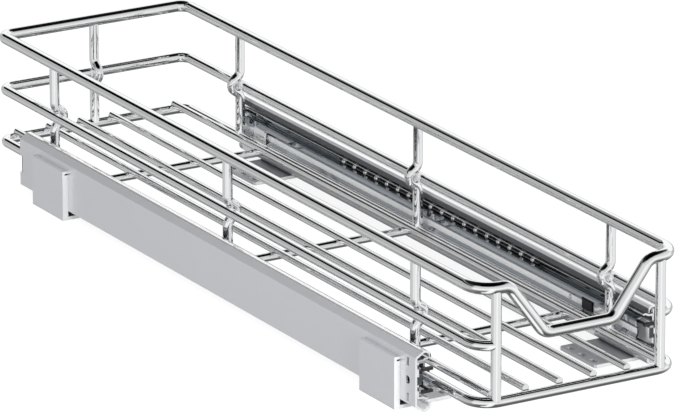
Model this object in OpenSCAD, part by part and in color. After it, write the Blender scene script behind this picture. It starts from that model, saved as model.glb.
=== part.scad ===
// Pull out cabinet basket: a wire basket on two full extension ball slides that stand on feet.
// Millimetres, Z up, X is the width, Y runs from the front (negative) to the rear.
// The origin is on the cabinet floor under the middle of the basket, which is drawn pushed in.

/* [Basket] */
// Width between the centres of the side rods
basket_width = 126; // [118:1:200]
// Depth between the centres of the front and rear rods
basket_depth = 542; // [520:1:620]
// Height between the centres of the bottom and top rods
basket_height = 65; // [60:1:120]
// Height of the bottom rods' centre above the cabinet floor
basket_lift = 15.6; // [14.8:0.2:17]

/* [Rods] */
// Diameter of the top rod and handle
top_rod = 7; // [6.4:0.2:8]
// Diameter of the middle and bottom rods
ring_rod = 6; // [5.4:0.2:6.4]
// Diameter of the upright posts
post_rod = 5.8; // [5:0.2:6]
// Diameter of the cross wires under the base
cross_rod = 5; // [4.4:0.2:5.4]
// Diameter of the long wires of the base
base_rod = 4.4; // [3.8:0.2:4.6]
// Depth that welded rods press into each other
weld_sink = 0.2; // [0.1:0.05:0.4]
// Bend radius at the front corners, to the rod's centre
front_bend = 13; // [11:1:18]
// Bend radius at the rear corners, to the rod's centre
rear_bend = 7; // [6:1:12]
// Bend radius at the peak of a post's inward bump
bump_bend = 4.05; // [3.6:0.15:4.5]
// Bend radius at the start and end of a post's bump
bump_start_bend = 5; // [4:0.5:6]
// Number of long wires in the base
base_count = 6; // [4:1:6]
// Distance from the side rod's centre to the first long wire
base_inset = 8.9; // [8.1:0.2:12.1]
// Distance from the front or rear rod's centre to the nearest side post
side_post_inset = 66.3; // [60:0.1:80]
// Distance from the front or rear rod's centre to the nearest cross wire
cross_inset = 101; // [90:0.5:120]
// Distance from the side rod's centre to a front post
front_post_inset = 10.5; // [9.5:0.5:12]

/* [Handle] */
// How far the handle dips below the top rod
handle_drop = 30.4; // [24:0.8:32.8]
// Length of the handle's level grip
handle_grip = 44; // [36:2:48]
// Bend radius of the handle, to the rod's centre
handle_bend = 8; // [6:1:10]

/* [Slides] */
// Length of the fixed rails
slide_length = 450; // [430:1:470]
// Distance from the front rod's centre to the fixed rails' front ends
slide_setback = 38.7; // [36:0.1:46]
// Height of the slides
slide_height = 35; // [34:0.5:38]
// Thickness of the slides
slide_thick = 12; // [12:0.1:12.6]
// Height of the slides' middle above the cabinet floor
slide_lift = 19.6; // [19.2:0.2:21]
// How far the basket pulls out
travel = 430; // [380:2:432]
// Radius of the balls that run in the fixed rails
outer_ball = 2.5; // [2.3:0.1:2.5]
// Radius of the balls that run in the inner rails
inner_ball = 1.6; // [1.4:0.1:1.6]
// Balls in each row
ball_count = 18; // [8:1:20]
// Gap between the side rods and the slides, which the clips fill
clip_gap = 1.6; // [1.5:0.1:2]

/* [Feet] */
// Length of each foot along the slide
foot_length = 37; // [30:0.2:44]
// Width of the foot's floor flange
foot_width = 37; // [33:1:44]
// Height of the foot's upright plate
foot_height = 30; // [28:0.5:33]
// How far the upright plate stands out from the rail
foot_offset = 3.6; // [3.2:0.1:5]
// Distance from the front end of the rail to the front foot
foot_inset = 16; // [16:0.2:30]
// Distance from the rear end of the rail to the rear foot
rear_foot_inset = 21.8; // [16:0.2:30]
// Diameter of the floor screw holes
screw_hole = 4.6; // [4:0.2:6]

/* [Hidden] */
$fn = 48;
// Ring and post positions
half_w = basket_width / 2;
half_d = basket_depth / 2;
top_r = top_rod / 2;
ring_r = ring_rod / 2;
post_r = post_rod / 2;
base_r = base_rod / 2;
mid_z = basket_lift + basket_height / 2;
top_z = basket_lift + basket_height;
base_sink = 1.2;
base_z = basket_lift + ring_r + base_r - base_sink;
base_x = half_w - base_inset;
base_pitch = 2 * base_x / (base_count - 1);
base_short = 1.5;
base_butt = 0.4;
side_post_y = half_d - side_post_inset;
cross_y = half_d - cross_inset;
cross_r = cross_rod / 2;
cross_z = basket_lift + ring_r - cross_r;
cross_tip = 1.6;
front_x = half_w - front_post_inset;
// How far a post's end goes into the rod that it is welded to
top_sink = 1.6;
ring_sink = 2.3;
mid_ring_turn = 78;
// The handle's slopes rise 4 for every 3 across, and a bump's slopes rise 3 for every 4 across
slope_share = 3 / 4;
grip_half = handle_grip / 2;
grip_top = grip_half + slope_share * handle_drop;
// A bump clears the middle rod, and its rounded peak is lower than its corner by this share
peak_share = 2 / 3;
bump_out = ring_r + post_r - weld_sink + peak_share * bump_bend;
bump_run = slope_share * bump_out;

// Slides, in their own axes: u inward from the rail's outer face, v up, w back from the rail's front
rail_x = half_w + ring_r + clip_gap + slide_thick;
rail_front = slide_setback - half_d;
rail_sheet = 1.2;
member_sheet = 1.1;
cage_sheet = 0.6;
race_play = 0.05;
cage_play = 0.12;
race_steps = 9;
outer_race = outer_ball + race_play;
inner_race = inner_ball + race_play;
outer_u = 6.2;
outer_v = slide_height / 2 - rail_sheet - outer_race;
rail_mid_r = outer_race + rail_sheet / 2;
rail_slant = 34;
rail_lip = -10;
rail_web_u = rail_sheet / 2;
cradle_r = outer_race + member_sheet / 2;
cover_r = inner_race + member_sheet / 2;
swap_angle = 305;
inner_u = outer_u + (cradle_r + cover_r) * cos(swap_angle);
inner_v = outer_v + (cradle_r + cover_r) * sin(swap_angle);
cradle_steps = 4;
cover_lip = 60;
groove_half = 50;
groove_lip = 15;
middle_web_u = 3.95;
shoulder_u = slide_thick - member_sheet / 2;
shoulder_share = 1.5625;
shoulder_v = inner_v - shoulder_share * inner_ball;
shoulder_low = 4.2;
groove_depth = 1.6;
groove_v = 1.8;
inner_web_u = shoulder_u - groove_depth;
inner_web_face = inner_web_u + member_sheet / 2;
inner_web_back = inner_web_u - member_sheet / 2;
// Cages: the outer one runs between the fixed and middle rails, the inner one inside the middle rail
outer_cage_u = 2.3;
outer_cage_lean = 1.4;
outer_cage_rise = 2;
outer_cage_reach = 2.1;
outer_cage_end = outer_u + outer_cage_reach;
inner_cage_u = 5.6;
inner_cage_v = inner_v - race_play * 2;
inner_cage_lean = 0.7;
inner_cage_reach = 0.8;
inner_cage_end = inner_u + inner_cage_reach;
// Lengths along the slide
end_gap = 0.5;
stop_length = 5.5;
tab_at = 1;
tab_length = 1.5;
tab_half = 3;
fixed_tab_low = 2.6;
fixed_tab_high = 6.6;
tab_clear = 0.5;
middle_front = 3.5;
member_rear = slide_length - stop_length - end_gap;
rear_tab_at = member_rear - 2 * tab_length;
cage_front = middle_front + tab_length + tab_clear + travel / 4;
cage_rear = rear_tab_at - tab_clear - travel / 4;
cage_length = cage_rear - cage_front;
ball_margin = 6;
ball_pitch = (cage_length - 2 * ball_margin) / (ball_count - 1);
inner_front = 9.5;
// Tabs that stop the cages at full pull
fixed_tab_u = outer_cage_u + cage_sheet;
middle_tab_u = outer_cage_u - cage_sheet;
inner_tab_reach = 0.8;
inner_tab_past = 0.4;
middle_inner_tab_u = inner_cage_u + inner_tab_reach;
inner_tab_u = inner_cage_u - inner_tab_past;
inner_tab_half = 5;
// Holes of the fixed rail's front end
front_hole_w = 8;
front_hole_r = 2.3;
front_hole_v = -0.4;
slot_half = 1.2;
slot_length = 4.6;
slot_v = 10.2;
notch_depth = 3;
notch_low = -6;
notch_high = 4;
// Soft end blocks
stop_u = 8;
stop_half = 9;
plug_length = 7;
plug_side = 6.2;
plug_clear = 0.1;
plug_back = 16;
prong_u = 4.9;
prong_side = 7.2;
prong_front = 0.2;
prong_length = 2.2;
prong_sheet = 1.6;
strap_u = 8.2;
strap_sheet = 1.4;

// Feet
foot_sheet = 1.5;
floor_sheet = 2;
foot_front_w = foot_inset;
foot_rear_w = slide_length - rear_foot_inset - foot_length;
pad_length = 20;
pad_height = 16;
pad_v = -0.4;
rivet_r = 1.6;
rivet_head_r = 3;
rivet_head = 0.5;
rivet_apart = 11;
rivet_play = 0.02;
screw_edge = 11.8;
screw_u = foot_width - foot_offset - screw_edge;
corner_cut = 1.6;
foot_relief = 0.9;
floor_slot_edge = 3.4;
floor_slot_half = 1.3;
floor_slot_length = 6;
floor_slot_apart = 11.7;

// Clips that hold the basket's bottom rod on the inner rail
clip_air = 0.1;
clip_sheet = clip_gap - clip_air;
clip_length = 12;
clip_front_w = 37;
clip_rear_inset = 30;
clip_rear_w = member_rear - clip_rear_inset;
clip_low = basket_lift - ring_r - clip_sheet / 2;
clip_rise = 4.6;
clip_high = slide_lift + clip_rise;
clip_shelf = 1;
clip_shelf_x = half_w - ring_r - clip_shelf;
clip_toe = 2.2;
clip_x = half_w + ring_r + clip_gap - clip_sheet / 2;
clip_rivet_z = slide_lift;
clip_rivet_r = 1.4;
clip_rivet_head_r = 2.4;
clip_rivet_head = 0.7;
clip_spacer_r = 1.7;

// Release levers inside the inner rails
lever_low_u = 7.5;
lever_play = 0.1;
lever_high_u = inner_web_back - lever_play;
lever_pivot_w = 78;
lever_pivot_v = 0;
lever_pin_r = 1.4;
lever_pin_play = 0.05;
lever_eye_r = 3.8;
lever_arm_half = 1.8;
lever_front_w = 52.2;
lever_pad_length = 10.3;
lever_pad_low = -1.4;
lever_pad_high = 3.9;
lever_pad_out = 0.8;
lever_pad_u = slide_thick + lever_pad_out;
lever_head_u = 6.7;
lever_head_r = 2.6;
window_side = 1.2;
window_low = -5.8;
window_high = 4.7;

// Colours
chrome = [0.82, 0.83, 0.85];
zinc = [0.7, 0.71, 0.73];
bright = [0.9, 0.9, 0.91];
black = [0.08, 0.08, 0.09];

// Directions, outlines and bent rods
function unit(a) = a / norm(a);
function left_of(a) = [-a[1], a[0]];
function backward(p) = [for (i = [len(p) - 1:-1:0]) p[i]];
function flipped(p) = [for (q = p) [q[0], -q[1]]];
function both_ends(p) = concat(backward(flipped(p)), p);
function arc(c, r, a0, a1, n) =
  [for (i = [0:n]) let(a = a0 + (a1 - a0) * i / n) [c[0] + r * cos(a), c[1] + r * sin(a)]];
function beside(p, d) = [
  for (i = [0:len(p) - 1])
    let(
      a = i > 0 ? unit(p[i] - p[i - 1]) : unit(p[1] - p[0]),
      b = i < len(p) - 1 ? unit(p[i + 1] - p[i]) : a,
      n = unit(left_of(a) + left_of(b))
    )
    p[i] + n * d / (n * left_of(b))
];

module sheet(p, t) {
  polygon(concat(beside(p, t / 2), backward(beside(p, -t / 2))));
}

function across(d) = abs(d[0]) < 1e-6 ? [1, 0, 0] : (abs(d[1]) < 1e-6 ? [0, 1, 0] : [0, 0, 1]);

module framed(o, x, y, z) {
  multmatrix([
    [x[0], y[0], z[0], o[0]], [x[1], y[1], z[1], o[1]], [x[2], y[2], z[2], o[2]], [0, 0, 0, 1]
  ]) children();
}

module bar(a, b, r) {
  d = unit(b - a);
  x = across(d);
  framed(a, x, cross(d, x), d) cylinder(h = norm(b - a), r = r);
}

function turn(a, b, c) = acos(unit(b - a) * unit(c - b));
function cut_back(a, b, c, r) = r * tan(turn(a, b, c) / 2);
bend_lap = 1;

// Half of a bend, which starts at the end of the rod from a to b and laps the other half
module half_bend(a, b, c, bend_r, r) {
  d0 = unit(b - a);
  d1 = unit(c - b);
  inward = unit(d1 - d0 * (d0 * d1));
  start = b - d0 * cut_back(a, b, c, bend_r);
  framed(start + inward * bend_r, -inward, d0, cross(-inward, d0))
    rotate_extrude(angle = ceil(turn(a, b, c) / 2) + bend_lap) translate([bend_r, 0]) circle(r);
}

module bend(a, b, c, bend_r, r) {
  half_bend(a, b, c, bend_r, r);
  half_bend(c, b, a, bend_r, r);
}

module rod(p, bends, r) {
  last = len(p) - 1;
  for (i = [0:last - 1]) {
    d = unit(p[i + 1] - p[i]);
    c0 = i > 0 ? cut_back(p[i - 1], p[i], p[i + 1], bends[i]) : 0;
    c1 = i < last - 1 ? cut_back(p[i], p[i + 1], p[i + 2], bends[i + 1]) : 0;
    bar(p[i] + d * c0, p[i + 1] - d * c1, r);
  }
  for (i = [1:last - 1]) bend(p[i - 1], p[i], p[i + 1], bends[i], r);
}

module ring(p, bends, r) {
  n = len(p);
  for (i = [0:n - 1]) {
    a = p[(i + n - 1) % n];
    b = p[i];
    c = p[(i + 1) % n];
    e = p[(i + 2) % n];
    d = unit(c - b);
    bar(b + d * cut_back(a, b, c, bends[i]), c - d * cut_back(b, c, e, bends[(i + 1) % n]), r);
    bend(a, b, c, bends[i], r);
  }
}

// Basket rods
module top_ring() {
  z = top_z;
  low = top_z - handle_drop;
  color(chrome) ring(
    [
      [half_w, half_d, z], [-half_w, half_d, z], [-half_w, -half_d, z],
      [-grip_top, -half_d, z], [-grip_half, -half_d, low],
      [grip_half, -half_d, low], [grip_top, -half_d, z], [half_w, -half_d, z]
    ],
    [
      rear_bend, rear_bend, front_bend,
      handle_bend, handle_bend, handle_bend, handle_bend, front_bend
    ],
    top_r
  );
}

module middle_ring() {
  z = mid_z;
  color(chrome) {
    rod(
      [
        [half_w, front_bend - half_d, z], [half_w, half_d, z],
        [-half_w, half_d, z], [-half_w, front_bend - half_d, z]
      ],
      [0, rear_bend, rear_bend, 0],
      ring_r
    );
    for (s = [-1, 1])
      framed(
        [s * (half_w - front_bend), front_bend - half_d, z], [s, 0, 0], [0, -1, 0], [0, 0, -s]
      ) rotate_extrude(angle = mid_ring_turn) translate([front_bend, 0]) circle(ring_r);
  }
}

module bottom_ring() {
  z = basket_lift;
  color(chrome) ring(
    [[half_w, half_d, z], [-half_w, half_d, z], [-half_w, -half_d, z], [half_w, -half_d, z]],
    [rear_bend, rear_bend, front_bend, front_bend],
    ring_r
  );
}

// A post from the top rod down to the bottom rod, with a bump inward round the middle rod
module bumped_post(x, y, inward) {
  color(chrome) rod(
    [
      [x, y, top_z - top_sink],
      [x, y, mid_z + bump_run],
      [x, y, mid_z] + inward * bump_out,
      [x, y, mid_z - bump_run],
      [x, y, basket_lift + ring_r - ring_sink]
    ],
    [0, bump_start_bend, bump_bend, bump_start_bend, 0],
    post_r
  );
}

module side_posts(s) {
  for (y = [-side_post_y, 0, side_post_y]) bumped_post(s * half_w, y, [-s, 0, 0]);
}

module side_posts_left() { side_posts(-1); }
module side_posts_right() { side_posts(1); }

module front_posts() {
  color(chrome) for (s = [-1, 1])
    bar(
      [s * front_x, -half_d, basket_lift + ring_r - ring_sink],
      [s * front_x, -half_d, top_z - top_sink],
      post_r
    );
}

module rear_post() { bumped_post(0, half_d, [0, -1, 0]); }

module cross_wires() {
  reach = half_w - ring_r + cross_tip;
  color(chrome) for (y = [-cross_y, 0, cross_y])
    bar([-reach, y, cross_z], [reach, y, cross_z], cross_r);
}

module base_wires() {
  color(chrome) for (i = [0:base_count - 1]) {
    x = i * base_pitch - base_x;
    outer = i == 0 || i == base_count - 1;
    front = outer ? post_r - base_butt - half_d : base_short - half_d;
    bar([x, front, base_z], [x, half_d - base_short, base_z], base_r);
  }
}

// Slide parts are drawn for the right side in u, v, w and mirrored for the left
module on_slide() {
  multmatrix([[-1, 0, 0, rail_x], [0, 0, 1, rail_front], [0, 1, 0, slide_lift], [0, 0, 0, 1]])
    children();
}

module side(s) {
  if (s > 0) children();
  else mirror([1, 0, 0]) children();
}

module block(u0, u1, v0, v1, w0, w1) {
  translate([u0, v0, w0]) cube([u1 - u0, v1 - v0, w1 - w0]);
}

module pin_u(u0, u1, v, w, r) {
  translate([u0, v, w]) rotate([0, 90, 0]) cylinder(h = u1 - u0, r = r);
}

module profile(p, t, w0, w1) {
  translate([0, 0, w0]) linear_extrude(height = w1 - w0) sheet(both_ends(p), t);
}

rail_touch = [
  outer_u - rail_mid_r * sin(rail_slant), outer_v + rail_mid_r * cos(rail_slant)
];
rail_edge_v = rail_touch[1] - (rail_touch[0] - rail_web_u) * tan(rail_slant);

module rail() {
  color(zinc) on_slide() {
    difference() {
      profile(
        concat(
          [[rail_web_u, rail_edge_v]],
          arc([outer_u, outer_v], rail_mid_r, 90 + rail_slant, rail_lip, race_steps)
        ),
        rail_sheet, 0, slide_length
      );
      pin_u(-rail_sheet, 2 * rail_sheet, front_hole_v, front_hole_w, front_hole_r);
      for (s = [-1, 1])
        block(
          -rail_sheet, 2 * rail_sheet, s * slot_v - slot_length / 2, s * slot_v + slot_length / 2,
          front_hole_w - slot_half, front_hole_w + slot_half
        );
      for (w = [foot_front_w, foot_rear_w], s = [-1, 1])
        pin_u(
          -rail_sheet, 2 * rail_sheet, pad_v,
          w + foot_length / 2 + s * rivet_apart / 2, rivet_r + rivet_play
        );
      block(
        -rail_sheet, 2 * rail_sheet, notch_low, notch_high,
        slide_length - notch_depth, slide_length + notch_depth
      );
    }
    block(
      rail_sheet / 2, fixed_tab_u, fixed_tab_low, fixed_tab_high,
      tab_at, tab_at + tab_length
    );
  }
}

module rail_left() { side(-1) rail(); }
module rail_right() { side(1) rail(); }

module middle_rail() {
  color(zinc) on_slide() {
    profile(
      concat(
        [[middle_web_u, outer_v - cradle_r]],
        arc([outer_u, outer_v], cradle_r, 270, swap_angle, cradle_steps),
        [for (q = arc([inner_u, inner_v], cover_r, swap_angle - 180, cover_lip, race_steps))
          if (q[0] > outer_u + cradle_r * cos(swap_angle) + race_play) q]
      ),
      member_sheet, middle_front, member_rear
    );
    block(
      middle_tab_u, middle_web_u, -tab_half, tab_half,
      rear_tab_at, rear_tab_at + tab_length
    );
    block(
      middle_web_u, middle_inner_tab_u, -tab_half, tab_half,
      middle_front, middle_front + tab_length
    );
  }
}

module middle_rail_left() { side(-1) middle_rail(); }
module middle_rail_right() { side(1) middle_rail(); }

module inner_rail() {
  color(bright) on_slide() {
    difference() {
      union() {
        profile(
          concat(
            [[inner_web_u, groove_v], [shoulder_u, shoulder_low], [shoulder_u, shoulder_v]],
            arc([inner_u, inner_v], cover_r, 270 + groove_lip, 270 - groove_half, race_steps)
          ),
          member_sheet, inner_front, member_rear
        );
        block(
          inner_tab_u, inner_web_u, -inner_tab_half, inner_tab_half,
          rear_tab_at, rear_tab_at + tab_length
        );
      }
      block(
        inner_web_u - member_sheet, slide_thick + member_sheet, window_low, window_high,
        lever_front_w - window_side, lever_front_w + lever_pad_length + window_side
      );
      pin_u(
        inner_web_u - member_sheet, slide_thick + member_sheet,
        lever_pivot_v, lever_pivot_w, lever_pin_r + rivet_play
      );
      for (w = clip_rivet_w) pin_u(
        inner_web_u - member_sheet, slide_thick + member_sheet,
        clip_rivet_z - slide_lift, w, clip_rivet_r + rivet_play
      );
    }
  }
}

module inner_rail_left() { side(-1) inner_rail(); }
module inner_rail_right() { side(1) inner_rail(); }

// Cages and balls
function ball_w(i) = cage_front + ball_margin + i * ball_pitch;

module ball_holes(u, v, r) {
  for (i = [0:ball_count - 1], s = [-1, 1])
    translate([u, s * v, ball_w(i)]) rotate([90, 0, 0])
      cylinder(h = 4 * cage_sheet, r = r + cage_play, center = true);
}

module ball_rows(u, v, r) {
  color(bright) on_slide() for (i = [0:ball_count - 1], s = [-1, 1])
    translate([u, s * v, ball_w(i)]) sphere(r = r, $fn = 24);
}

module outer_cage() {
  color(zinc) on_slide() difference() {
    profile(
      [
        [outer_cage_u, outer_v - outer_cage_rise], [outer_cage_u + outer_cage_lean, outer_v],
        [outer_cage_end, outer_v]
      ],
      cage_sheet, cage_front, cage_rear
    );
    ball_holes(outer_u, outer_v, outer_ball);
  }
}

module inner_cage() {
  color(zinc) on_slide() difference() {
    profile(
      [
        [inner_cage_u, inner_cage_v - inner_cage_lean],
        [inner_cage_u + inner_cage_lean, inner_cage_v],
        [inner_cage_end, inner_cage_v]
      ],
      cage_sheet, cage_front, cage_rear
    );
    ball_holes(inner_u, inner_cage_v, inner_ball);
  }
}

module outer_cage_left() { side(-1) outer_cage(); }
module outer_cage_right() { side(1) outer_cage(); }
module outer_balls_left() { side(-1) ball_rows(outer_u, outer_v, outer_ball); }
module outer_balls_right() { side(1) ball_rows(outer_u, outer_v, outer_ball); }
module inner_cage_left() { side(-1) inner_cage(); }
module inner_cage_right() { side(1) inner_cage(); }
module inner_balls_left() { side(-1) ball_rows(inner_u, inner_v, inner_ball); }
module inner_balls_right() { side(1) ball_rows(inner_u, inner_v, inner_ball); }

// Soft stops at the rear of the fixed rails, and plugs in the inner rails' front ends
module rear_stops() {
  color(black) for (s = [-1, 1]) side(s) on_slide()
    block(rail_sheet, stop_u, -stop_half, stop_half, slide_length - stop_length, slide_length);
}

module end_plugs() {
  root = inner_front + plug_back;
  face_u = inner_web_back - plug_clear;
  color(black) for (s = [-1, 1]) side(s) on_slide() {
    block(lever_low_u, face_u, -plug_side, plug_side, root, root + plug_length);
    for (e = [-1, 1]) scale([1, e, 1]) {
      block(strap_u, face_u, plug_side - strap_sheet, plug_side, prong_front, root);
      block(
        prong_u, shoulder_u, prong_side - prong_sheet, prong_side,
        prong_front, prong_front + prong_length
      );
    }
  }
}

// Feet
module foot(w) {
  back_u = foot_sheet - foot_offset;
  low = -slide_lift;
  high = foot_height - slide_lift;
  edge = foot_width - foot_offset;
  middle = w + foot_length / 2;
  color(zinc) on_slide() difference() {
    union() {
      block(-foot_offset, back_u, low, high, w, w + foot_length);
      for (e = [w, w + foot_length - foot_sheet])
        block(-foot_offset, 0, low, high - foot_sheet - foot_relief, e, e + foot_sheet);
      block(-foot_offset, 0, high - foot_sheet, high, w, w + foot_length);
      block(-foot_offset, edge, low, low + floor_sheet, w, w + foot_length);
    }
    translate([screw_u, low - floor_sheet, middle]) rotate([-90, 0, 0])
      cylinder(h = 3 * floor_sheet, r = screw_hole / 2);
    for (e = [-1, 0, 1])
      block(
        edge - floor_slot_edge - floor_slot_half, edge - floor_slot_edge + floor_slot_half,
        low - floor_sheet, low + 2 * floor_sheet,
        middle + e * floor_slot_apart - floor_slot_length / 2,
        middle + e * floor_slot_apart + floor_slot_length / 2
      );
    for (e = [w, w + foot_length])
      translate([edge, low + floor_sheet / 2, e]) rotate([0, 45, 0])
        cube([corner_cut, 2 * floor_sheet, corner_cut], center = true);
  }
}

module foot_front_left() { side(-1) foot(foot_front_w); }
module foot_rear_left() { side(-1) foot(foot_rear_w); }
module foot_front_right() { side(1) foot(foot_front_w); }
module foot_rear_right() { side(1) foot(foot_rear_w); }

module each_foot() {
  for (s = [-1, 1], w = [foot_front_w, foot_rear_w])
    side(s) on_slide() translate([0, 0, w + foot_length / 2]) children();
}

module foot_pads() {
  color(zinc) each_foot() difference() {
    block(
      foot_sheet - foot_offset, 0, pad_v - pad_height / 2, pad_v + pad_height / 2,
      -pad_length / 2, pad_length / 2
    );
    for (s = [-1, 1])
      pin_u(-foot_offset, foot_sheet, pad_v, s * rivet_apart / 2, rivet_r + rivet_play);
  }
}

module foot_rivets() {
  color(bright) each_foot() for (s = [-1, 1]) {
    pin_u(
      foot_sheet - foot_offset, rail_sheet + rivet_head, pad_v, s * rivet_apart / 2, rivet_r
    );
    pin_u(rail_sheet, rail_sheet + rivet_head, pad_v, s * rivet_apart / 2, rivet_head_r);
  }
}

// Clips
clip_rivet_w = [clip_front_w + clip_length / 2, clip_rear_w + clip_length / 2];

module clip(w) {
  color(bright) difference() {
    translate([0, rail_front + w + clip_length, 0]) rotate([90, 0, 0])
      linear_extrude(height = clip_length) sheet(
        [
          [clip_shelf_x, clip_low + clip_toe], [clip_shelf_x, clip_low],
          [clip_x, clip_low], [clip_x, clip_high]
        ],
        clip_sheet
      );
    on_slide() pin_u(
      slide_thick - clip_sheet, slide_thick + 2 * clip_sheet, clip_rivet_z - slide_lift,
      w + clip_length / 2, clip_rivet_r + rivet_play
    );
  }
}

module clip_front_left() { side(-1) clip(clip_front_w); }
module clip_rear_left() { side(-1) clip(clip_rear_w); }
module clip_front_right() { side(1) clip(clip_front_w); }
module clip_rear_right() { side(1) clip(clip_rear_w); }

module clip_rivets() {
  v = clip_rivet_z - slide_lift;
  color(bright) for (s = [-1, 1], w = clip_rivet_w) side(s) on_slide() {
    pin_u(inner_web_back - clip_rivet_head, slide_thick + clip_sheet, v, w, clip_rivet_r);
    pin_u(inner_web_back - clip_rivet_head, inner_web_back, v, w, clip_rivet_head_r);
    pin_u(inner_web_face, slide_thick, v, w, clip_spacer_r);
  }
}

// Release levers
module lever() {
  color(black) on_slide() difference() {
    union() {
      pin_u(lever_low_u, lever_high_u, lever_pivot_v, lever_pivot_w, lever_eye_r);
      block(
        lever_low_u, lever_high_u, lever_pivot_v - lever_arm_half, lever_pivot_v + lever_arm_half,
        lever_front_w, lever_pivot_w
      );
      block(
        lever_low_u, lever_pad_u, lever_pad_low, lever_pad_high,
        lever_front_w, lever_front_w + lever_pad_length
      );
    }
    pin_u(
      lever_low_u - lever_play, lever_high_u + lever_play, lever_pivot_v, lever_pivot_w,
      lever_pin_r + lever_pin_play
    );
  }
}

module lever_left() { side(-1) lever(); }
module lever_right() { side(1) lever(); }

module lever_pins() {
  color(bright) for (s = [-1, 1]) side(s) on_slide() {
    pin_u(lever_low_u - lever_play, inner_web_face, lever_pivot_v, lever_pivot_w, lever_pin_r);
    pin_u(lever_head_u, lever_low_u - lever_play, lever_pivot_v, lever_pivot_w, lever_head_r);
  }
}

top_ring();
middle_ring();
bottom_ring();
side_posts_left();
side_posts_right();
front_posts();
rear_post();
cross_wires();
base_wires();
rail_left();
rail_right();
foot_front_left();
foot_rear_left();
foot_front_right();
foot_rear_right();
foot_pads();
foot_rivets();
rear_stops();
middle_rail_left();
middle_rail_right();
outer_cage_left();
outer_cage_right();
outer_balls_left();
outer_balls_right();
inner_cage_left();
inner_cage_right();
inner_balls_left();
inner_balls_right();
inner_rail_left();
inner_rail_right();
end_plugs();
clip_front_left();
clip_rear_left();
clip_front_right();
clip_rear_right();
clip_rivets();
lever_left();
lever_right();
lever_pins();
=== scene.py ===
# Looks of the pull out cabinet basket: chromed rods, zinc plated slides and feet, and black
# plugs and levers.
import math

import bpy
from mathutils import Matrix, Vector


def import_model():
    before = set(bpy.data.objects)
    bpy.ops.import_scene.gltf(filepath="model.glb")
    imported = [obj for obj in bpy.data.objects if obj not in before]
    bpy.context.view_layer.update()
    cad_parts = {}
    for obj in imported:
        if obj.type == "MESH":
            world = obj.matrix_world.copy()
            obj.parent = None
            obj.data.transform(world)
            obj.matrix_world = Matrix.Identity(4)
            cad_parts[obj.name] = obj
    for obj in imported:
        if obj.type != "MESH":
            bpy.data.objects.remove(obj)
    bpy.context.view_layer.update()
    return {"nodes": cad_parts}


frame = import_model()
nodes = frame["nodes"]

# Photograph's camera, from a fit to the rods' corners
CAMERA_AT = (-1.97906, -3.35163, 1.33464)
CAMERA_TURN = (71.605, 0.0, -30.696)
CAMERA_LENS = 380.86
CAMERA_FAR = 50
SENSOR_WIDTH = 36.0

# Pieces by material
CHROME_NODES = (
    "top_ring", "middle_ring", "bottom_ring", "side_posts_left", "side_posts_right",
    "front_posts", "rear_post", "cross_wires", "base_wires",
)
RAIL_NODES = ("rail_left", "rail_right")
FOOT_NODES = (
    "foot_front_left", "foot_rear_left", "foot_front_right", "foot_rear_right", "foot_pads",
)
ROLLED_NODES = ("middle_rail_left", "middle_rail_right")
PALE_NODES = ("inner_rail_left", "inner_rail_right")
BRIGHT_NODES = (
    "clip_front_left", "clip_rear_left", "clip_front_right", "clip_rear_right",
    "clip_rivets", "foot_rivets", "lever_pins",
)
CAGE_NODES = ("outer_cage_left", "outer_cage_right", "inner_cage_left", "inner_cage_right")
BALL_NODES = ("outer_balls_left", "outer_balls_right", "inner_balls_left", "inner_balls_right")
PLASTIC_NODES = ("end_plugs", "lever_left", "lever_right")
RUBBER_NODES = ("rear_stops",)

# Shared colours of the sheet, the painted light on foot fronts, lower races and inner webs, and the
# near black of painted shade
PLATE_LOW = (0.66, 0.67, 0.695)
PLATE_HIGH = (0.675, 0.685, 0.71)
FOOT_WORN = (0.8, 0.8, 0.81)
FOOT_FRONT_LIT = (0.9, 0.9, 0.905)
RAIL_WORN_AND_LIT = (0.97, 0.97, 0.975)
RACE_LIT = (0.98, 0.98, 0.985)
WEB_LIT_LOW = (0.97, 0.97, 0.975)
WEB_LIT_HIGH = (0.99, 0.99, 0.99)
WEB_WORN = (0.97, 0.97, 0.97)
WHITE = (1.0, 1.0, 1.0)
PAINTED_SHADE = (0.05, 0.055, 0.06)

# Input spans of masks: a mask's own values, a noise's usual values, the cosine between the
# rounded and the flat normal at an edge and at a shallow fold, and how open a groove is
FULL = (0.0, 1.0)
NOISE_SPAN = (0.3, 0.7)
EDGE_SPAN = (0.8, 0.98)
FOLD_SPAN = (0.9, 0.99)
OPEN_SPAN = (0.15, 0.5)

# Noise of the sheet: scale of its clouds and of its fine grain, and the detail of each
CLOUD_SCALE = 70.0
CLOUD_DETAIL = 3.0
FINE_DETAIL = 2.0
FINER = 9
ROLLED_ALONG = (1, 0.2, 1)

# Wear and painted shade: how strong worn edges show, how rough they are, and the reach of a recess
# that gets painted shade
WEAR = 0.6
WORN_ROUGHNESS = 0.06
RECESS_REACH = 0.005
RECESS_SAMPLES = 6
EDGE_SAMPLES = 4

# Radius of rounded edges and height of the fine bump, in metres
SHEET_EDGE = 0.00015
FOLD_EDGE = 0.0003
PLATE_BUMP = 0.0000006
ROLLED_BUMP = 0.000001

# Spread of the roughness over the fine grain and the clouds
METAL_GRAIN = 0.01
SHEET_GRAIN = 0.02
SHEET_CLOUDS = 0.04

# Fixed rail: strength of painted shade in recesses, of worn folds that also paint a highlight, and
# of painted shade on the inner lips, and levels of dull and polished sheet
RAIL_RECESS_SHADE = 0.8
RAIL_WEAR_AND_HIGHLIGHT = 0.8
LIP_SHADE = 0.92
PLATE_METALLIC = 0.5
BEND_METALLIC = 0.97
RACE_SHARE = 0.1
PLATE_ROUGHNESS = (0.28, 0.32)
BEND_ROUGHNESS = 0.03

# Moving rails: lighter clouds, painted shade on the front tab, and levels of the polished curves
# and the dull web
CURVE_GAIN = 1.1
TAB_SHADE = 0.95
CURVE_METALLIC = 0.95
WEB_METALLIC = 0.05
WEB_ROUGHNESS = 0.15

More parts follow.
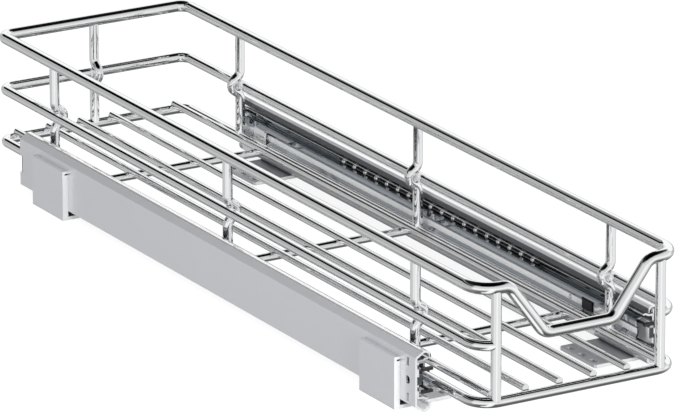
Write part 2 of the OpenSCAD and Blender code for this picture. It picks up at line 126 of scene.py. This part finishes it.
# Black pieces: scales of clouds and grain, edge radius, lighter clouds, wear and gloss
BLACK_CLOUDS = 120.0
BLACK_GRAIN = 1800.0
BLACK_EDGE = 0.0003
BLACK_GAIN = 1.3
BLACK_WEAR = 0.5
BLACK_SPECULAR = 0.3

# Faces by the direction of their normal
FRONT_FACING = (-0.95, -0.9)
INWARD_FACING = (-0.001, 0.001)
SIDE_FACING = (0.96, 0.985)
BEND_UP = (0.86, 0.9)
RACE_UP = (0.3, 0.4)

# Places on the fixed rail, in metres: top of the lower race, start of the painted shade in
# recesses, and the inner lips that get painted shade
RACE_TOP = (0.0065, 0.0068)
RECESS_SHADE_FROM = (0.01, 0.014)
LIP_SIDE = (0.0703, 0.0706)
LIP_HEIGHTS = (0.031, 0.0357)
LIP_SOFT = 0.0003

# Heights of the flat webs and of the front tab on the moving rails, in metres
ROLLED_WEB = (0.0085, 0.0255)
PALE_WEB = (0.0165, 0.0222)
TAB_HEIGHTS = (0.0165, 0.0227)
TAB_SOFT = 0.0004
WEB_SOFT = 0.0002


class Nodes:
    """Short calls for the nodes that colours and masks are made of."""

    def __init__(self, tree):
        self.tree = tree

    def new(self, kind):
        return self.tree.nodes.new(kind)

    def link(self, source, target):
        self.tree.links.new(source, target)

    def feed(self, socket, value):
        """Link a socket, or set it to a number or a colour."""
        if isinstance(value, bpy.types.NodeSocket):
            self.link(value, socket)
        elif isinstance(value, tuple):
            socket.default_value = (*value, 1.0)
        else:
            socket.default_value = value

    def spread(self, source, low, high, span=NOISE_SPAN):
        """Values from low to high as the source runs over the span."""
        node = self.new("ShaderNodeMapRange")
        for name, value in zip(("From Min", "From Max", "To Min", "To Max"), (*span, low, high)):
            node.inputs[name].default_value = value
        self.link(source, node.inputs["Value"])
        return node.outputs["Result"]

    def mask(self, source, span):
        return self.spread(source, 0.0, 1.0, span)

    def pick(self, mask, off, on):
        """A value that goes from off to on with a mask."""
        return self.spread(mask, off, on, FULL)

    def math(self, operation, a, b=0.0):
        node = self.new("ShaderNodeMath")
        node.operation = operation
        self.feed(node.inputs[0], a)
        self.feed(node.inputs[1], b)
        return node.outputs["Value"]

    def times(self, first, *others):
        for other in others:
            first = self.math("MULTIPLY", first, other)
        return first

    def mix(self, fac, a, b):
        node = self.new("ShaderNodeMix")
        node.data_type = "RGBA"
        self.link(fac, node.inputs["Factor"])
        for name, value in (("A", a), ("B", b)):
            self.feed(next(s for s in node.inputs if s.name == name and s.type == "RGBA"), value)
        return next(s for s in node.outputs if s.type == "RGBA")

    def axes(self, source):
        split = self.new("ShaderNodeSeparateXYZ")
        self.link(source, split.inputs["Vector"])
        return [split.outputs[axis] for axis in "XYZ"]


class Material(Nodes):
    """Principled material that is built up from noise, edge wear and bump."""

    def __init__(self, name):
        self.data = bpy.data.materials.new(name)
        self.data.use_nodes = True
        super().__init__(self.data.node_tree)
        self.shader = self.tree.nodes["Principled BSDF"]
        self.object_coords = self.new("ShaderNodeTexCoord").outputs["Object"]

    def set(self, name, value):
        self.feed(self.shader.inputs[name], value)

    def noise(self, scale, detail=CLOUD_DETAIL, stretch=(1, 1, 1)):
        place = self.new("ShaderNodeMapping")
        place.inputs["Scale"].default_value = stretch
        self.link(self.object_coords, place.inputs["Vector"])
        node = self.new("ShaderNodeTexNoise")
        node.inputs["Scale"].default_value = scale
        node.inputs["Detail"].default_value = detail
        self.link(place.outputs["Vector"], node.inputs["Vector"])
        return node.outputs["Fac"]

    def rounded(self, radius, span=EDGE_SPAN):
        """Normal that runs softly over the edges, and how near an edge is."""
        node = self.new("ShaderNodeBevel")
        node.samples = EDGE_SAMPLES
        node.inputs["Radius"].default_value = radius
        flat = self.new("ShaderNodeNewGeometry")
        dot = self.new("ShaderNodeVectorMath")
        dot.operation = "DOT_PRODUCT"
        self.link(node.outputs["Normal"], dot.inputs[0])
        self.link(flat.outputs["Normal"], dot.inputs[1])
        return node.outputs["Normal"], self.spread(dot.outputs["Value"], 1.0, 0.0, span)

    def recess(self):
        """How deep a place lies between its neighbours, from 0 in the open to 1."""
        node = self.new("ShaderNodeAmbientOcclusion")
        node.samples = RECESS_SAMPLES
        node.inputs["Distance"].default_value = RECESS_REACH
        return self.spread(node.outputs["AO"], 1.0, 0.0, OPEN_SPAN)

    def normal_axes(self):
        return self.axes(self.new("ShaderNodeNewGeometry").outputs["Normal"])

    def ahead(self):
        """Mask of the faces that look to the front."""
        return self.spread(self.normal_axes()[1], 1.0, 0.0, FRONT_FACING)

    def inward(self, side):
        """Mask of the faces that look to the object's middle, where side is the place across."""
        return self.spread(self.times(self.normal_axes()[0], side), 1.0, 0.0, INWARD_FACING)

    def between(self, value, heights, soft):
        low, high = heights
        above = self.mask(value, (low - soft, low + soft))
        below = self.spread(value, 1.0, 0.0, (high - soft, high + soft))
        return self.times(above, below)

    def bump(self, source, height, normal):
        node = self.new("ShaderNodeBump")
        node.inputs["Distance"].default_value = height
        node.inputs["Strength"].default_value = 1.0
        self.link(source, node.inputs["Height"])
        self.link(normal, node.inputs["Normal"])
        self.link(node.outputs["Normal"], self.shader.inputs["Normal"])


def metal(name, colours, worn, metallic, rough, grain, edge, height, recess_shade=0.0, front=None):
    """Metal with cloudy colour and roughness, worn edges, and, if given, painted shade in recesses
    and painted light on front faces.
    """
    m = Material(name)
    m.set("Metallic", metallic)
    cloud = m.noise(grain)
    fine = m.noise(grain * FINER, FINE_DETAIL)
    normal, near_edge = m.rounded(edge)
    colour = m.mix(m.mask(cloud, NOISE_SPAN), *colours)
    # Front faces get a lighter colour: painted light.
    if front:
        colour = m.mix(m.ahead(), colour, front)
    # Recesses get near black from the occlusion mask: painted shade.
    if recess_shade:
        colour = m.mix(m.times(m.recess(), recess_shade), colour, PAINTED_SHADE)
    m.set("Base Color", m.mix(m.times(near_edge, WEAR), colour, worn))
    level = m.math("ADD", m.spread(cloud, *rough), m.spread(fine, 0.0, METAL_GRAIN))
    m.set("Roughness", m.math("ADD", level, m.times(near_edge, WORN_ROUGHNESS)))
    m.bump(fine, height, normal)
    return m.data


def sheet_roughness(m, level, cloud, fine):
    """Roughness of the rails: a level of its own, with clouds and fine grain on top."""
    rough = m.math("ADD", level, m.spread(cloud, 0.0, SHEET_CLOUDS))
    m.set("Roughness", m.math("ADD", rough, m.spread(fine, 0.0, SHEET_GRAIN)))


def rail():
    """Fixed rail: dull plated sheet; polished upper bends in white, partly painted light on the
    tops; lower races painted pale as painted light; painted shade in recesses and on the inner
    lips; edges and folds lightened as wear and painted highlight.
    """
    m = Material("rail_steel")
    across, _, height = m.axes(m.object_coords)
    up = m.normal_axes()[2]
    # The lower race is painted pale and dull: painted light in a hollow.
    race = m.times(m.mask(up, RACE_UP), m.spread(height, 1.0, 0.0, RACE_TOP))
    # Up-facing bends get white polished sheet: a polished finish, and painted light on the tops.
    polished = m.times(m.mask(up, BEND_UP), m.pick(race, 1.0, 0.0))
    # The inner lips get near black: painted shade.
    inner = m.spread(m.math("ABSOLUTE", across), 1.0, 0.0, LIP_SIDE)
    lip_shade_mask = m.times(inner, m.between(height, LIP_HEIGHTS, LIP_SOFT))
    cloud = m.noise(CLOUD_SCALE)
    fine = m.noise(CLOUD_SCALE * FINER, FINE_DETAIL)
    normal, near_edge = m.rounded(FOLD_EDGE, FOLD_SPAN)
    colour = m.mix(m.mask(cloud, NOISE_SPAN), PLATE_LOW, PLATE_HIGH)
    colour = m.mix(polished, colour, WHITE)
    colour = m.mix(race, colour, RACE_LIT)
    # Recesses above the lower curl get near black: painted shade.
    recess_shade_mask = m.times(m.recess(), m.pick(polished, RAIL_RECESS_SHADE, 0.0), m.mask(height, RECESS_SHADE_FROM))
    colour = m.mix(recess_shade_mask, colour, PAINTED_SHADE)
    # Edges and shallow folds get lighter: edge wear, and a painted highlight along the folds.
    colour = m.mix(m.times(near_edge, RAIL_WEAR_AND_HIGHLIGHT), colour, RAIL_WORN_AND_LIT)
    m.set("Base Color", m.mix(m.times(lip_shade_mask, LIP_SHADE), colour, PAINTED_SHADE))
    metallic = m.pick(polished, PLATE_METALLIC, BEND_METALLIC)
    m.set("Metallic", m.times(metallic, m.pick(race, 1.0, RACE_SHARE)))
    sheet_roughness(m, m.pick(polished, PLATE_ROUGHNESS[0], BEND_ROUGHNESS), cloud, fine)
    m.bump(fine, PLATE_BUMP, normal)
    return m.data


def moving_rail(name, web_heights, shaded_curve, recess_shade, polish):
    """Rolled rail: dull web on the inner side, painted pale as painted light, and darker polished
    lands and curves, their darker colour painted shade, with painted shade in recesses and on the
    front tab.
    """
    m = Material(name)
    across = m.math("ABSOLUTE", m.normal_axes()[0])
    side, _, height = m.axes(m.object_coords)
    flat = m.times(m.mask(across, SIDE_FACING), m.between(height, web_heights, WEB_SOFT))
    flat = m.times(flat, m.inward(side))
    cloud = m.noise(CLOUD_SCALE, CLOUD_DETAIL, ROLLED_ALONG)
    fine = m.noise(CLOUD_SCALE * FINER, FINE_DETAIL, ROLLED_ALONG)
    normal, near_edge = m.rounded(SHEET_EDGE)
    # The inward web is pale and the rest darker: painted light on the web and painted shade on
    # lands and curves, over a dull web and polished curves of their own.
    web = m.mix(m.mask(cloud, NOISE_SPAN), WEB_LIT_LOW, WEB_LIT_HIGH)
    shade = m.mix(m.mask(cloud, NOISE_SPAN), shaded_curve, tuple(CURVE_GAIN * c for c in shaded_curve))
    # Recesses off the inner web get near black: painted shade.
    recess_shade_mask = m.times(m.recess(), m.pick(flat, recess_shade, 0.0))
    colour = m.mix(recess_shade_mask, m.mix(flat, shade, web), PAINTED_SHADE)
    colour = m.mix(m.times(near_edge, WEAR), colour, WEB_WORN)
    # The front-facing tab gets near black: painted shade.
    tab = m.times(m.ahead(), m.between(height, TAB_HEIGHTS, TAB_SOFT))
    m.set("Base Color", m.mix(m.times(tab, TAB_SHADE), colour, PAINTED_SHADE))
    m.set("Metallic", m.pick(flat, CURVE_METALLIC, WEB_METALLIC))
    sheet_roughness(m, m.pick(flat, polish, WEB_ROUGHNESS), cloud, fine)
    m.bump(fine, ROLLED_BUMP, normal)
    return m.data


def black(name, colour, worn, rough, height):
    """Black plastic or rubber."""
    m = Material(name)
    cloud = m.noise(BLACK_CLOUDS)
    fine = m.noise(BLACK_GRAIN, FINE_DETAIL)
    normal, near_edge = m.rounded(BLACK_EDGE)
    base = m.mix(m.mask(cloud, NOISE_SPAN), colour, tuple(BLACK_GAIN * c for c in colour))
    m.set("Base Color", m.mix(m.times(near_edge, BLACK_WEAR), base, worn))
    m.set("Roughness", m.spread(fine, *rough))
    m.set("Specular IOR Level", BLACK_SPECULAR)
    m.bump(fine, height, normal)
    return m.data


def assign(material, names):
    for name in names:
        mesh = nodes[name].data
        mesh.materials.clear()
        mesh.materials.append(material)


def dress():
    """Give each piece its material."""
    assign(metal(
        "chrome", ((0.93, 0.935, 0.945), (0.95, 0.955, 0.96)), (0.95, 0.95, 0.95),
        metallic=1.0, rough=(0.01, 0.025), grain=60.0, edge=0.0004, height=0.0000005,
    ), CHROME_NODES)
    assign(rail(), RAIL_NODES)
    assign(metal(
        "plated_steel", (PLATE_LOW, PLATE_HIGH), FOOT_WORN,
        metallic=PLATE_METALLIC, rough=PLATE_ROUGHNESS, grain=CLOUD_SCALE, edge=SHEET_EDGE,
        height=PLATE_BUMP, recess_shade=0.6, front=FOOT_FRONT_LIT,
    ), FOOT_NODES)
    assign(moving_rail(
        "rolled_steel", ROLLED_WEB, shaded_curve=(0.86, 0.88, 0.9), recess_shade=0.8, polish=0.08,
    ), ROLLED_NODES)
    assign(moving_rail(
        "pale_steel", PALE_WEB, shaded_curve=(0.4, 0.43, 0.46), recess_shade=0.95, polish=0.05,
    ), PALE_NODES)
    assign(metal(
        "bright_steel", ((0.88, 0.89, 0.9), (0.92, 0.93, 0.94)), (0.96, 0.96, 0.96),
        metallic=0.8, rough=(0.12, 0.16), grain=90.0, edge=0.0002, height=0.000002,
    ), BRIGHT_NODES)
    assign(metal(
        "cage_steel", ((0.14, 0.145, 0.15), (0.19, 0.195, 0.2)), (0.35, 0.35, 0.36),
        metallic=0.85, rough=(0.25, 0.35), grain=160.0, edge=0.0002, height=0.000003,
    ), CAGE_NODES)
    assign(metal(
        "ball_steel", ((0.9, 0.9, 0.91), (0.94, 0.94, 0.95)), (0.94, 0.94, 0.95),
        metallic=1.0, rough=(0.05, 0.08), grain=200.0, edge=0.0001, height=0.0000005,
    ), BALL_NODES)
    assign(black(
        "black_plastic", (0.016, 0.016, 0.018), (0.05, 0.05, 0.055),
        rough=(0.34, 0.48), height=0.00001,
    ), PLASTIC_NODES)
    assign(black(
        "black_rubber", (0.02, 0.02, 0.02), (0.04, 0.04, 0.04),
        rough=(0.6, 0.8), height=0.00002,
    ), RUBBER_NODES)


# Levels by the sine of the elevation, for the front and the rear half of the studio
FRONT = (
    (-1, 0.08), (-0.7, 0.12), (-0.5, 0.4), (-0.4, 0.7), (-0.316, 0.83), (-0.2, 0.9), (0.0, 0.95),
    (0.25, 0.74), (0.6, 0.7), (0.7, 0.45), (0.77, 0.08), (0.81, 0.0), (1, 0.0),
)
REAR = (
    (-1, 0.1), (-0.6, 0.25), (-0.5, 0.38), (-0.36, 0.58), (-0.1, 0.54), (0.1, 0.42), (0.3, 0.54),
    (0.37, 0.46), (0.4, 0.0), (0.55, 0.0), (0.58, 0.26), (0.62, 0.3), (0.66, 0.02), (1, 0.0),
)
REAR_FROM = (-0.1, 0.1)
# White card at the right rear: its left edge, top and bottom
CARD_LEFT = (0.0, 0.1)
CARD_TOP = (0.6, 0.54)
CARD_BOTTOM = (0.05, 0.15)
# White upright strip at the front: its left, right, depth and top
STRIP_LEFT = (-0.5, -0.35)
STRIP_RIGHT = (0.05, -0.1)
STRIP_DEPTH = (0.0, -0.2)
STRIP_TOP = (0.3, 0.1)
# Even light on dull surfaces
DIFFUSE_LEVEL = (0.7, 0.7, 0.71)


def height_ramp(w, height, stops):
    """Grey levels by height, where stops are given from -1 to 1."""
    ramp = w.new("ShaderNodeValToRGB")
    elements = ramp.color_ramp.elements
    while len(elements) > 1:
        elements.remove(elements[-1])
    for i, (at, level) in enumerate(stops):
        element = elements[0] if i == 0 else elements.new((at + 1) / 2)
        element.position = (at + 1) / 2
        element.color = (level, level, level, 1)
    w.link(w.mask(height, (-1.0, 1.0)), ramp.inputs["Fac"])
    return ramp.outputs["Color"]


def world():
    """Studio that the metal reflects, white to the camera and even for dull surfaces."""
    studio = bpy.data.worlds.new("studio")
    bpy.context.scene.world = studio
    studio.use_nodes = True
    w = Nodes(studio.node_tree)
    across, depth, height = w.axes(w.new("ShaderNodeTexCoord").outputs["Generated"])
    is_rear = w.mask(depth, REAR_FROM)
    dome = w.mix(is_rear, height_ramp(w, height, FRONT), height_ramp(w, height, REAR))
    card = w.times(
        w.mask(across, CARD_LEFT), is_rear, w.mask(height, CARD_TOP), w.mask(height, CARD_BOTTOM))
    dome = w.mix(card, dome, WHITE)
    strip = w.times(
        w.mask(across, STRIP_LEFT), w.mask(across, STRIP_RIGHT),
        w.mask(depth, STRIP_DEPTH), w.mask(height, STRIP_TOP))
    dome = w.mix(strip, dome, WHITE)
    rays = w.new("ShaderNodeLightPath").outputs
    shown = w.mix(rays["Is Camera Ray"], dome, WHITE)
    plain = w.mix(rays["Is Diffuse Ray"], shown, DIFFUSE_LEVEL)
    w.link(plain, w.tree.nodes["Background"].inputs["Color"])


def place(name, data):
    """Add an object that is no part of the basket."""
    obj = bpy.data.objects.new(name, data)
    bpy.context.scene.collection.objects.link(obj)
    return obj


def camera():
    data = bpy.data.cameras.new("camera")
    data.sensor_width = SENSOR_WIDTH
    data.lens = CAMERA_LENS
    data.clip_end = CAMERA_FAR
    obj = place("camera", data)
    obj.location = CAMERA_AT
    obj.rotation_euler = [math.radians(a) for a in CAMERA_TURN]
    bpy.context.scene.camera = obj


# Lamps: name, place and power in watts; each looks at the basket's middle
LAMPS = (
    ("front_lamp", (-0.1, -1.92, 0.38), 42),
    ("side_lamp", (-1.9, -0.4, 0.5), 18),
)
LAMP_SIZE = 0.8


def lamps():
    for name, at, power in LAMPS:
        data = bpy.data.lights.new(name, "AREA")
        data.shape = "RECTANGLE"
        data.size = data.size_y = LAMP_SIZE
        data.energy = power
        obj = place(name, data)
        obj.location = at
        obj.rotation_euler = (-Vector(at)).to_track_quat("-Z", "Y").to_euler()
        obj.visible_glossy = False


# White floor that keeps the shadow: half its width, its height, its own colour and its glow
FLOOR_REACH = 6.0
FLOOR_LEVEL = -0.0002
FLOOR_COLOUR = (0.3, 0.3, 0.3)
FLOOR_GLOW = 0.84


def floor():
    mesh = bpy.data.meshes.new("floor")
    corners = ((-1, -1), (1, -1), (1, 1), (-1, 1))
    mesh.from_pydata(
        [(x * FLOOR_REACH, y * FLOOR_REACH, FLOOR_LEVEL) for x, y in corners], [], [(0, 1, 2, 3)])
    obj = place("floor", mesh)
    material = bpy.data.materials.new("floor")
    material.use_nodes = True
    f = Nodes(material.node_tree)
    f.tree.nodes.clear()
    out = f.new("ShaderNodeOutputMaterial")
    matte = f.new("ShaderNodeBsdfDiffuse")
    f.feed(matte.inputs["Color"], FLOOR_COLOUR)
    glow = f.new("ShaderNodeEmission")
    is_camera = f.new("ShaderNodeLightPath").outputs["Is Camera Ray"]
    f.link(f.times(is_camera, FLOOR_GLOW), glow.inputs["Strength"])
    both = f.new("ShaderNodeAddShader")
    f.link(matte.outputs["BSDF"], both.inputs[0])
    f.link(glow.outputs["Emission"], both.inputs[1])
    f.link(both.outputs["Shader"], out.inputs["Surface"])
    mesh.materials.append(material)
    obj.visible_glossy = False


dress()
world()
camera()
floor()
lamps()

bpy.context.scene.view_settings.view_transform = "Standard"
